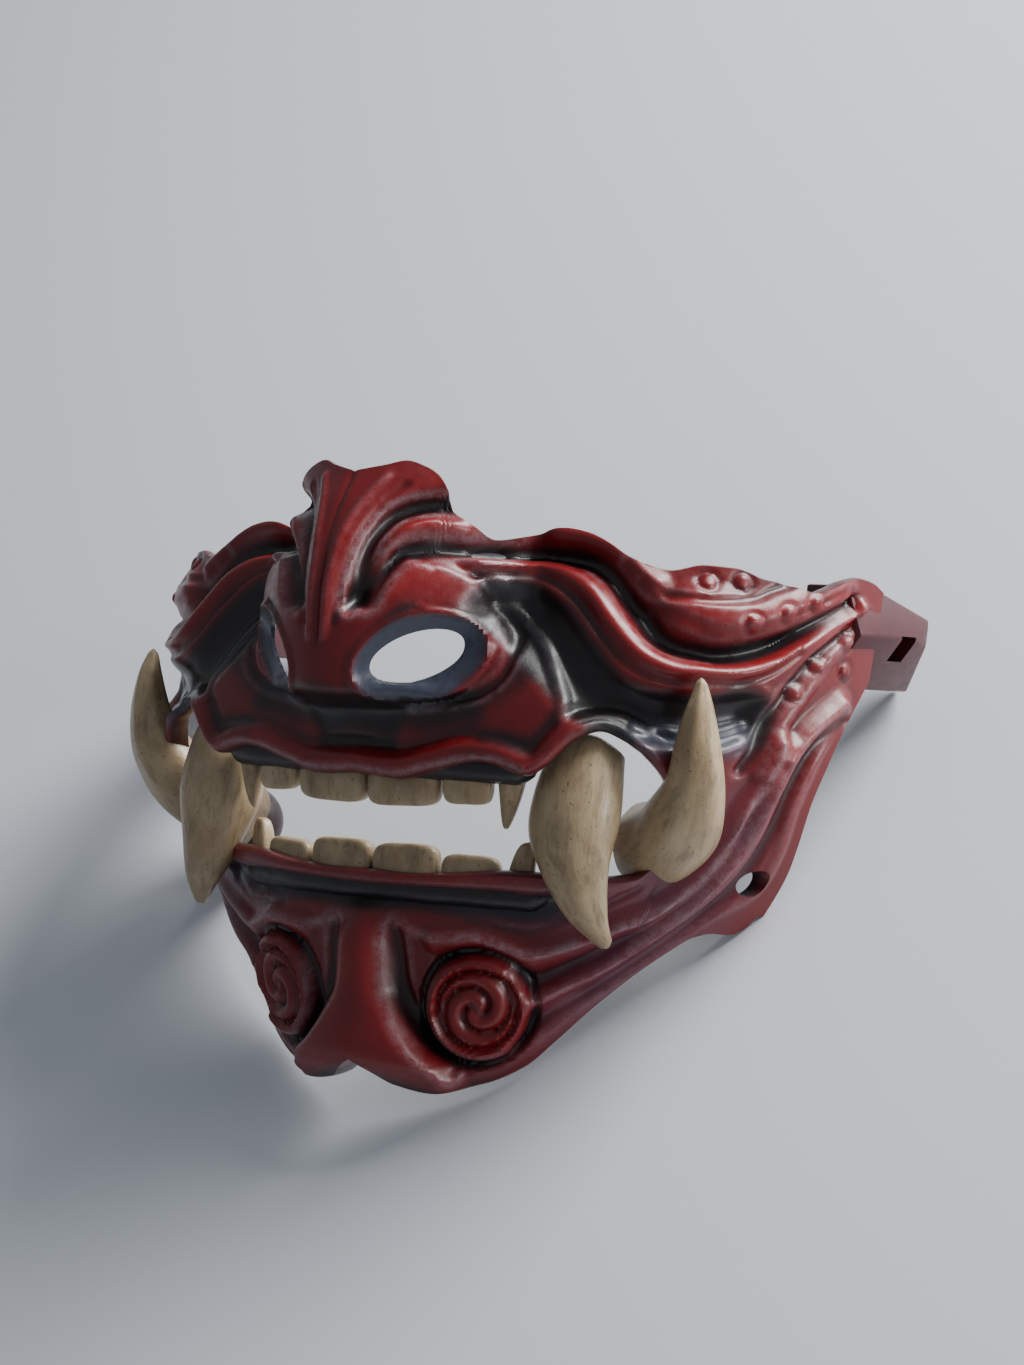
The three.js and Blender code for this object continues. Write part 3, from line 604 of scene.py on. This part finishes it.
class nodeKit:  # small helpers that lay out shader nodes
    def __init__(self, name):
        self.material = bpy.data.materials.new(name)
        self.material.use_nodes = True
        self.tree = self.material.node_tree
        self.shader = self.tree.nodes["Principled BSDF"]
        self.coords = self.tree.nodes.new("ShaderNodeTexCoord").outputs["Object"]

    def link(self, source, target):
        if hasattr(source, "node"):
            self.tree.links.new(source, target)
        else:
            target.default_value = source

    def noise(self, scale, detail=4, rough=0.55, stretch=None, vector=None):
        node = self.tree.nodes.new("ShaderNodeTexNoise")
        node.inputs["Scale"].default_value = scale
        node.inputs["Detail"].default_value = detail
        node.inputs["Roughness"].default_value = rough
        vector = vector or self.coords
        if stretch:
            mapping = self.tree.nodes.new("ShaderNodeMapping")
            mapping.inputs["Scale"].default_value = stretch
            self.tree.links.new(vector, mapping.inputs["Vector"])
            vector = mapping.outputs["Vector"]
        self.tree.links.new(vector, node.inputs["Vector"])
        return node.outputs["Fac"]

    def attribute(self, name, vector=False):
        node = self.tree.nodes.new("ShaderNodeAttribute")
        node.attribute_name = name
        return node.outputs["Vector" if vector else "Fac"]

    def math(self, operation, a, b=0.0, clamp=False):
        node = self.tree.nodes.new("ShaderNodeMath")
        node.operation = operation
        node.use_clamp = clamp
        self.link(a, node.inputs[0])
        self.link(b, node.inputs[1])
        return node.outputs[0]

    def vary(self, value, pattern, amount):  # a value made uneven by a pattern of 0 to 1
        return self.math("ADD", value, self.math("MULTIPLY", self.math("SUBTRACT", pattern, 0.5), amount))

    def plus(self, first, second, amount):  # a pattern with a share of another
        return self.math("ADD", first, self.math("MULTIPLY", second, amount))

    def ramp(self, value, low, high, start=0.0, end=1.0):
        node = self.tree.nodes.new("ShaderNodeMapRange")
        node.interpolation_type = "SMOOTHSTEP"
        self.link(value, node.inputs["Value"])
        for name, number in (("From Min", low), ("From Max", high), ("To Min", start), ("To Max", end)):
            node.inputs[name].default_value = number
        return node.outputs["Result"]

    def blend(self, amount, first, second):
        node = self.tree.nodes.new("ShaderNodeMix")
        node.data_type = "RGBA"
        self.link(amount, node.inputs[0])
        for colour, target in ((first, node.inputs[6]), (second, node.inputs[7])):
            self.link((*colour, 1) if isinstance(colour, tuple) else colour, target)
        return node.outputs[2]

    def bump(self, height, strength, distance, normal=None):
        node = self.tree.nodes.new("ShaderNodeBump")
        node.inputs["Strength"].default_value = strength
        node.inputs["Distance"].default_value = distance
        self.link(height, node.inputs["Height"])
        if normal:
            self.link(normal, node.inputs["Normal"])
        return node.outputs["Normal"]


# colours of the red lacquer; the silver is worn paint and painted sheen, the slate blue a painted
# reflection, the mauve a painted sheen
lacquer = {
    "dark": (0.008, 0.004, 0.005), "deep": (0.04, 0.003, 0.005), "crimson": (0.15, 0.004, 0.006),
    "bright": (0.23, 0.006, 0.008), "wearAndSheen": (0.36, 0.33, 0.36), "slateReflection": (0.04, 0.048, 0.075),
    "mauveSheen": (0.12, 0.045, 0.07), "rough": 0.37, "coat": 0.18, "coatRough": 0.28,
}


def lacquerMaterial():
    kit = nodeKit("red_lacquer")
    cloud = kit.noise(55, 3)
    speck = kit.noise(1900, 2, 0.7)
    grain = kit.noise(420, 4, 0.6)
    red = kit.vary(kit.vary(kit.attribute("redPaint"), cloud, 0.3), speck, 0.22)
    colour = kit.blend(kit.ramp(red, 0.08, 0.45), lacquer["dark"], lacquer["deep"])
    colour = kit.blend(kit.ramp(red, 0.35, 0.8), colour, lacquer["crimson"])
    colour = kit.blend(kit.ramp(red, 0.85, 1.15), colour, lacquer["bright"])
    # painted sheen in mauve
    mauveSheen = kit.math("MULTIPLY", kit.attribute("mauveSheenPaint"),
                     kit.ramp(kit.plus(cloud, speck, 0.3), 0.4, 0.85, 0.2, 0.75))
    colour = kit.blend(mauveSheen, colour, lacquer["mauveSheen"])
    # painted reflection in slate blue
    slateReflection = kit.math("MULTIPLY", kit.attribute("slateReflectionPaint"),
                     kit.ramp(kit.plus(grain, speck, 0.4), 0.35, 0.8, 0.45, 1.0))
    colour = kit.blend(slateReflection, colour, lacquer["slateReflection"])
    # silver wear and painted sheen
    worn = kit.math("MULTIPLY", kit.attribute("wearAndSheenPaint"),
                    kit.ramp(kit.plus(grain, speck, 0.6), 0.5, 1.05, 0.05, 0.85))
    colour = kit.blend(worn, colour, lacquer["wearAndSheen"])
    kit.link(colour, kit.shader.inputs["Base Color"])
    kit.link(kit.ramp(grain, 0.3, 0.75, lacquer["rough"] - 0.06, lacquer["rough"] + 0.1),
             kit.shader.inputs["Roughness"])
    kit.shader.inputs["Coat Weight"].default_value = lacquer["coat"]
    kit.shader.inputs["Coat Roughness"].default_value = lacquer["coatRough"]
    skin = kit.bump(speck, 0.12, 0.0002)
    skin = kit.bump(grain, 0.18, 0.0004, skin)
    kit.link(skin, kit.shader.inputs["Normal"])
    return kit.material


bone = {
    "pale": (0.47, 0.355, 0.21), "tan": (0.33, 0.23, 0.125), "brown": (0.085, 0.046, 0.021),
    "root": (0.04, 0.022, 0.012), "rough": 0.36, "coat": 0.25, "coatRough": 0.25,
}


def boneMaterial():
    kit = nodeKit("bone")
    along = kit.attribute("boneGrain", True)
    cloud = kit.noise(0.11, 5, 0.62, (1, 1, 0.7), along)
    streak = kit.noise(0.36, 5, 0.7, (1, 1, 0.3), along)
    fine = kit.noise(1.6, 4, 0.7, (1, 1, 0.3), along)
    pits = kit.noise(1.1, 2, 0.5, vector=along)
    colour = kit.blend(kit.ramp(cloud, 0.35, 0.65), bone["tan"], bone["pale"])
    colour = kit.blend(kit.ramp(streak, 0.48, 0.72, 0.0, 0.5), colour, bone["brown"])
    colour = kit.blend(kit.ramp(fine, 0.58, 0.8, 0.0, 0.4), colour, bone["brown"])
    spot = kit.ramp(pits, 0.66, 0.74)
    colour = kit.blend(kit.math("MULTIPLY", spot, 0.7), colour, bone["brown"])
    # darker toward the roots, with painted shade at the teeth's roots and sides
    rootDarkness = kit.vary(kit.attribute("rootDarkAndShade"), cloud, 0.5)
    colour = kit.blend(kit.ramp(rootDarkness, 0.25, 1.1, 0.0, 0.75), colour, bone["root"])
    kit.link(colour, kit.shader.inputs["Base Color"])
    kit.link(kit.ramp(fine, 0.3, 0.75, bone["rough"] - 0.06, bone["rough"] + 0.14),
             kit.shader.inputs["Roughness"])
    kit.shader.inputs["Coat Weight"].default_value = bone["coat"]
    kit.shader.inputs["Coat Roughness"].default_value = bone["coatRough"]
    skin = kit.bump(kit.math("SUBTRACT", streak, kit.math("MULTIPLY", spot, 0.8)), 0.3, 0.0006)
    skin = kit.bump(fine, 0.2, 0.0003, skin)
    kit.link(skin, kit.shader.inputs["Normal"])
    return kit.material


lacquerFinish = lacquerMaterial()
boneFinish = boneMaterial()
print("materials made")

shell, shellSpots, shellPaint = buildShell()
openOn(shell)
bpy.ops.mesh.remove_doubles(threshold=0.0005)
bpy.ops.mesh.fill_holes(sides=0)  # where the rounded edges meet at the corners
bpy.ops.mesh.select_all(action="SELECT")
bpy.ops.mesh.normals_make_consistent(inside=False)
closeEditor()
print("shell drawn", len(shell.data.vertices), "points")

# the nostrils and the cord holes, cut through the shell
drill = {"cordAt": (80, 47.6, -9.6), "cordRadius": 3.2, "cordLength": 60, "nostrilLength": 30}
facing, along, short = nostrilAxes()
for hand in (1, -1):
    bpy.ops.mesh.primitive_cylinder_add(vertices=96, radius=1, depth=drill["nostrilLength"])
    tool = bpy.context.active_object
    turn = Matrix((Vector(along), Vector(short), Vector(facing))).transposed().to_4x4()
    flip = Matrix.Diagonal((hand, 1, 1, 1))
    tool.data.transform(flip @ Matrix.Translation(nostril["at"]) @ turn
                        @ Matrix.Diagonal((nostril["long"], nostril["short"], 1, 1)))
    if hand < 0:
        tool.data.flip_normals()
    applyBoolean(shell, tool, "DIFFERENCE")
    bpy.ops.mesh.primitive_cylinder_add(vertices=48, radius=drill["cordRadius"], depth=drill["cordLength"],
                                        location=mirrorSpot(drill["cordAt"], hand),
                                        rotation=(0, math.pi / 2, 0))
    applyBoolean(shell, bpy.context.active_object, "DIFFERENCE")

tree = KDTree(len(shellSpots))
for k, spot in enumerate(shellSpots.tolist()):
    tree.insert(spot, k)
tree.balance()
nearest = np.array([tree.find(spot)[1] for spot in getSpots(shell).tolist()])
for name, values in shellPaint.items():
    setField(shell, name, values[nearest])
finishPiece(shell, lacquerFinish, 40)
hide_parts("mask_shell")
print("shell finished", len(shell.data.vertices), "points")

# Lugs behind the cheeks, each a block cut to facets, with a square slot for a strap. A facet is a
# point on its plane and the way it faces.
lug = {
    "size": (19, 40, 24), "at": (90.5, 80, 49), "slot": 6, "slotAt": (90, 80, 47), "slotLength": 60,
    "edge": 0.7,
    "facets": [((93.6, 64, 60), (0.93, -0.14, 0.33)), ((97.6, 82, 46), (0.8, -0.12, -0.58)),
               ((99, 91, 53), (0.72, 0.66, -0.12)), ((95, 72, 60.5), (0, 0.3, 0.95)),
               ((84, 80, 50), (-1, 0.12, 0))],
}
for hand, name in ((1, "strap_lug_left"), (-1, "strap_lug_right")):
    bpy.ops.mesh.primitive_cube_add(size=1, location=mirrorSpot(lug["at"], hand), scale=lug["size"])
    block = bpy.context.active_object
    block.name = name
    bpy.ops.object.transform_apply(location=True, rotation=True, scale=True)
    openOn(block)
    for at, facet in lug["facets"]:
        bpy.ops.mesh.select_all(action="SELECT")
        bpy.ops.mesh.bisect(plane_co=mirrorSpot(at, hand), plane_no=mirrorSpot(facet, hand),
                            use_fill=True, clear_outer=True)
    bpy.ops.mesh.select_all(action="SELECT")
    bpy.ops.mesh.bevel(offset=lug["edge"], segments=2)
    bpy.ops.mesh.select_all(action="SELECT")
    bpy.ops.mesh.normals_make_consistent(inside=False)
    closeEditor()
    bpy.ops.mesh.primitive_cube_add(size=1, location=mirrorSpot(lug["slotAt"], hand),
                                    scale=(lug["slotLength"], lug["slot"], lug["slot"]))
    applyBoolean(block, bpy.context.active_object, "DIFFERENCE")
    paintPlain(block, paints["lug"])
    finishPiece(block, lacquerFinish, 25)
print("lugs made")


def axisThrough(stations, places):  # points on a smooth axis through stations, 0 to 1
    points = [np.array(station[:3], float) for station in stations]
    points = [2 * points[0] - points[1]] + points + [2 * points[-1] - points[-2]]
    made = []
    for place in places:
        run = min(max(place, 0), 1) * (len(stations) - 1)
        i = min(int(run), len(stations) - 2)
        t = run - i
        a, b, c, d = points[i:i + 4]
        ab, bc, cd = (np.linalg.norm(q - p) ** 0.5 for p, q in ((a, b), (b, c), (c, d)))
        start = ((b - a) / ab - (c - a) / (ab + bc) + (c - b) / bc) * bc
        end = ((c - b) / bc - (d - b) / (bc + cd) + (d - c) / cd) * bc
        made.append(b + start * t + (3 * (c - b) - 2 * start - end) * t * t
                    + (2 * (b - c) + start + end) * t ** 3)
    return np.array(made)


def ripple(spots, scale, seed):  # a smooth uneven field, the same on every run
    rng = np.random.default_rng(seed)
    total = np.zeros(len(spots))
    for _ in range(7):
        wave = rng.normal(size=3) * scale
        total += np.sin(spots @ wave + rng.uniform(0, 6.28))
    return total / 3.5


# A rod through stations of (x, y, z, radius), from a sphere whose rings are moved out along its axis.
def taperedRod(name, stations, depthShare, hand, settings):
    bpy.ops.mesh.primitive_uv_sphere_add(segments=settings["sides"], ring_count=settings["rings"], radius=1)
    rod = bpy.context.active_object
    rod.name = name
    ball = getSpots(rod)
    place = np.arccos(np.clip(-ball[:, 2], -1, 1)) / math.pi
    turn = np.arctan2(ball[:, 1], ball[:, 0])
    rings = np.unique(np.round(place, 5))
    centres = axisThrough(stations, rings)
    tangents = np.gradient(centres, axis=0)
    tangents = tangents / np.linalg.norm(tangents, axis=1, keepdims=True)
    normal = np.cross(tangents[0], (0, 0.3, 1))
    frames = []
    for tangent in tangents:
        normal = normal - tangent * np.dot(normal, tangent)
        normal = normal / np.linalg.norm(normal)
        frames.append((normal, np.cross(tangent, normal)))
    which = np.searchsorted(rings, np.round(place, 5))
    radius = track([(i / (len(stations) - 1), station[3]) for i, station in enumerate(stations)])(place)
    radius = radius * np.sqrt(np.clip(place / settings["rootCap"], 0, 1)) \
        * np.sqrt(np.clip((1 - place) / settings["tipCap"], 0, 1))
    flat = np.stack([radius * np.cos(turn), radius * np.sin(turn)], -1)
    straight = np.concatenate([flat, (place * settings["length"])[:, None]], 1)
    uneven = ripple(straight, settings["lumpScale"], settings["seed"]) * settings["lump"]
    groove = np.cos(turn * settings["grooves"] + 1.3 * np.sin(place * 5)) * settings["groove"]
    groove = groove * (1 - place) ** 0.5
    swell = 1 + (uneven + groove) / np.maximum(radius, 1.5)
    normals = np.array([frames[k][0] for k in which])
    others = np.array([frames[k][1] for k in which])
    reach = normals * (flat[:, :1] * swell[:, None]) + others * (flat[:, 1:] * swell[:, None])
    reach[:, 1] *= depthShare
    spots = centres[which] + reach
    spots[:, 0] *= hand
    setSpots(rod, spots)
    faceOut(rod)
    setGrain(rod, straight + settings["seed"] * 37)  # a different patch of the grain for each
    # darker toward the root
    setField(rod, "rootDarkAndShade", np.clip(1 - place / settings["darkRootReach"], 0, 1))
    return rod


fang = {
    "stations": [(52, 18, 22, 7.4), (51.2, 14.4, 14, 10), (50.9, 12, 4, 11), (52.1, 11.2, -7, 8.6),
                 (55.5, 13, -17.5, 4.8), (58.8, 16.6, -25, 1.2)],
    "depthShare": 0.72, "sides": 64, "rings": 110, "rootCap": 0.06, "tipCap": 0.03, "length": 52,
    "lumpScale": 0.22, "lump": 0.3, "grooves": 5, "groove": 0.22, "darkRootReach": 0.26,
}
tusk = {
    "stations": [(53, 35.5, -2.5, 9), (61.5, 31.4, -1.2, 10), (70.9, 25.2, 3.6, 9.2), (76.7, 20.4, 12, 7.4),
                 (78.5, 17.6, 21.5, 5.4), (78.8, 16.8, 30.5, 3.5), (78.7, 17.1, 37.4, 0.9)],
    "depthShare": 0.9, "sides": 64, "rings": 120, "rootCap": 0.08, "tipCap": 0.03, "length": 62,
    "lumpScale": 0.2, "lump": 0.34, "grooves": 6, "groove": 0.24, "darkRootReach": 0.16,
}
for hand, sideName, seed in ((1, "left", 3), (-1, "right", 8)):
    for name, horn, offset in (("upper_fang", fang, 0), ("lower_tusk", tusk, 1)):
        node = f"{name}_{sideName}"
        rod = taperedRod(node, horn["stations"], horn["depthShare"], hand, {**horn, "seed": seed + offset})
        finishPiece(rod, boneFinish)
        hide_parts(node)
print("fangs and tusks made")

# Teeth: rounded blocks in two rows behind the lips. Each has a name, the degrees where it starts and
# ends, the heights of its root and tip, how much it narrows toward the tip, and how far the tip leans.
teeth = {
    "back": face["wall"] + 0.3, "thick": 5, "corner": 4.5, "cuts": 13, "upperRow": 10, "lowerRow": -9,
    "upper": [("upper_incisor", 0.15, 12.4, 15, 3.9, 0, 0),
              ("upper_lateral", 12.9, 20.6, 17, 5.4, 0.04, 0),
              ("upper_small_fang", 21.2, 25.6, 16, 0.6, 0.75, -0.6)],
    "lower": [("lower_incisor", 0.2, 12, -16, -4.8, 0, 0),
              ("lower_lateral", 12.6, 22.6, -16, -6.2, 0.05, 0),
              ("lower_small_tusk", 23.2, 27.8, -16, -2.4, 0.35, 1)],
}


def toothPiece(node, shape, row, hand, seed):
    _, start, end, root, tip, taper, lean = shape
    bpy.ops.mesh.primitive_cube_add(size=2)
    tooth = bpy.context.active_object
    tooth.name = node
    openOn(tooth)
    bpy.ops.mesh.subdivide(number_cuts=teeth["cuts"])
    closeEditor()
    block = getSpots(tooth)
    power = teeth["corner"]
    length = (np.abs(block) ** power).sum(1) ** (1 / power)
    block = block * (np.abs(block).max(1) / length)[:, None]
    rise = block[:, 2] * 0.5 * (1 if tip > root else -1) + 0.5  # 0 at the root, 1 at the tip
    narrowed = 1 - taper * rise ** 1.4
    rng = np.random.default_rng(seed)
    wobble = ripple(block, 2.2, seed)
    height = (root + tip) / 2 + block[:, 2] * abs(tip - root) / 2
    height = height + np.where(rise > 0.5, (rise - 0.5) * rng.uniform(-0.5, 0.5) * block[:, 0] * 2, 0)
    angle = (start + end) / 2 + block[:, 0] * (end - start) / 2 * narrowed + lean * rise ** 2
    depth = teeth["back"] + teeth["thick"] / 2 * (1 + block[:, 1] * narrowed)
    rowHeight = np.full(len(angle), row)
    ribs = 0.16 * np.cos(block[:, 0] * 5 + seed) * np.clip(-block[:, 1], 0, 1)  # faint, in front
    inset = (depth - ribs - 0.14 * wobble)[:, None]
    spots = plainFace(angle, rowHeight) - levelOutward(angle, rowHeight) * inset
    spots[:, 2] = height + 0.1 * wobble
    spots[:, 0] *= hand
    setSpots(tooth, spots)
    faceOut(tooth)
    setGrain(tooth, np.stack([angle * 1.6, depth, -rise * abs(tip - root)], -1) + seed * 23)
    # painted shade: darker toward the root and at the sides, where the teeth meet the gum and each other
    edges = np.clip((np.abs(block[:, 0]) - 0.8) * 3.4, 0, 1)
    setField(tooth, "rootDarkAndShade", np.clip(np.clip(0.75 - rise, 0, 1) * 0.8 + 0.5 * edges, 0, 1))
    return tooth


seed = 40
for row, shapes in ((teeth["upperRow"], teeth["upper"]), (teeth["lowerRow"], teeth["lower"])):
    for shape in shapes:
        for hand, sideName in ((1, "left"), (-1, "right")):
            seed += 1
            node = f"{shape[0]}_{sideName}"
            tooth = toothPiece(node, shape, row, hand, seed)
            finishPiece(tooth, boneFinish)
            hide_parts(node)
print("teeth made")

# gums behind the lips, each with its height and how many degrees it reaches, and a lump at each tusk's root
gum = {
    "rows": [("upper_gum", 14.6, 27), ("lower_gum", -14.6, 31)],
    "back": face["wall"] + 1.6, "radius": 4, "stations": 17,
    "sides": 24, "rings": 90, "rootCap": 0.05, "tipCap": 0.05, "length": 90, "lumpScale": 0.3, "lump": 0.2,
    "grooves": 3, "groove": 0.1, "darkRootReach": 0.01, "seed": 5,
}
socket = {"at": (61, 37, -5), "radius": 9}
for name, height, reach in gum["rows"]:
    angles = np.linspace(-reach, reach, gum["stations"])
    heights = np.full(gum["stations"], float(height))
    run = plainFace(angles, heights) - levelOutward(angles, heights) * gum["back"]
    bead = taperedRod(name, [(*spot, gum["radius"]) for spot in run], 1, 1, gum)
    # dark, as painted shade behind the lips
    paintPlain(bead, paints["gum"])
    finishPiece(bead, lacquerFinish)
for hand, name in ((1, "tusk_socket_left"), (-1, "tusk_socket_right")):
    bpy.ops.mesh.primitive_uv_sphere_add(segments=40, ring_count=24, radius=socket["radius"],
                                         location=mirrorSpot(socket["at"], hand))
    lump = bpy.context.active_object
    lump.name = name
    # dark, as painted shade in the mouth's corner
    paintPlain(lump, paints["socket"])
    finishPiece(lump, lacquerFinish)
print("gums and sockets made")

# floor, lights and camera
floor = {"size": 8, "colour": (0.74, 0.77, 0.81), "rough": 0.7}
bpy.ops.mesh.primitive_plane_add(size=floor["size"])
ground = bpy.context.active_object
ground.name = "floor"
kit = nodeKit("pale_floor")
kit.link(kit.blend(kit.noise(3, 2), floor["colour"], tuple(0.97 * part for part in floor["colour"])),
         kit.shader.inputs["Base Color"])
kit.shader.inputs["Roughness"].default_value = floor["rough"]
ground.data.materials.append(kit.material)

view = {
    "azimuth": 32.5, "roll": 3.24, "focal": 2900, "imageWidth": 1024, "sensor": 36,
    "origin": (-35.33, 31.96, 674),  # of the upright mask, seen from the camera: right, down, ahead
}
azimuth, roll = math.radians(view["azimuth"]), math.radians(view["roll"])
ahead = Vector((-math.sin(azimuth), math.cos(azimuth), 0))
level = Vector((math.cos(azimuth), math.sin(azimuth), 0))
down = ahead.cross(level)
right = level * math.cos(roll) - down * math.sin(roll)
down = level * math.sin(roll) + down * math.cos(roll)
eye = -(right * view["origin"][0] + down * view["origin"][1] + ahead * view["origin"][2])
turn = Matrix((right, -down, -ahead)).transposed()
pitch = Matrix.Rotation(math.radians(-rest["pitch"]), 3, "X")
cameraData = bpy.data.cameras.new("camera")
cameraData.sensor_fit = "HORIZONTAL"
cameraData.sensor_width = view["sensor"]
cameraData.lens = view["focal"] / view["imageWidth"] * view["sensor"]
camera = bpy.data.objects.new("camera", cameraData)
camera.matrix_world = Matrix.Translation(layDown @ eye) @ (pitch @ turn).to_4x4()
bpy.context.collection.objects.link(camera)
bpy.context.scene.camera = camera

lights = {  # toward each light from the mask, as shares of the camera's right, up and back
    "key": {"right": 0.6, "up": 0.8, "back": 0.12, "far": 1.3, "size": 0.8, "power": 36},
    "side": {"right": 0.85, "up": 0.1, "back": 0.5, "far": 1.3, "size": 0.5, "power": 8},
}
middle = Vector((0, 0, 0.05))
cameraTurn = pitch @ turn
for name, light in lights.items():
    toward = cameraTurn @ Vector((light["right"], light["up"], light["back"])).normalized()
    lamp = bpy.data.lights.new(name, "AREA")
    lamp.shape = "DISK"
    lamp.size = light["size"]
    lamp.energy = light["power"]
    holder = bpy.data.objects.new(name, lamp)
    holder.location = middle + toward * light["far"]
    holder.rotation_euler = toward.to_track_quat("Z", "Y").to_euler()
    bpy.context.collection.objects.link(holder)
    print(name, "light at", [round(part, 2) for part in holder.location])
world = bpy.data.worlds.new("studio")
world.use_nodes = True
world.node_tree.nodes["Background"].inputs["Color"].default_value = (0.78, 0.84, 0.92, 1)
world.node_tree.nodes["Background"].inputs["Strength"].default_value = 0.3
bpy.context.scene.world = world
print("floor, lights and camera set")
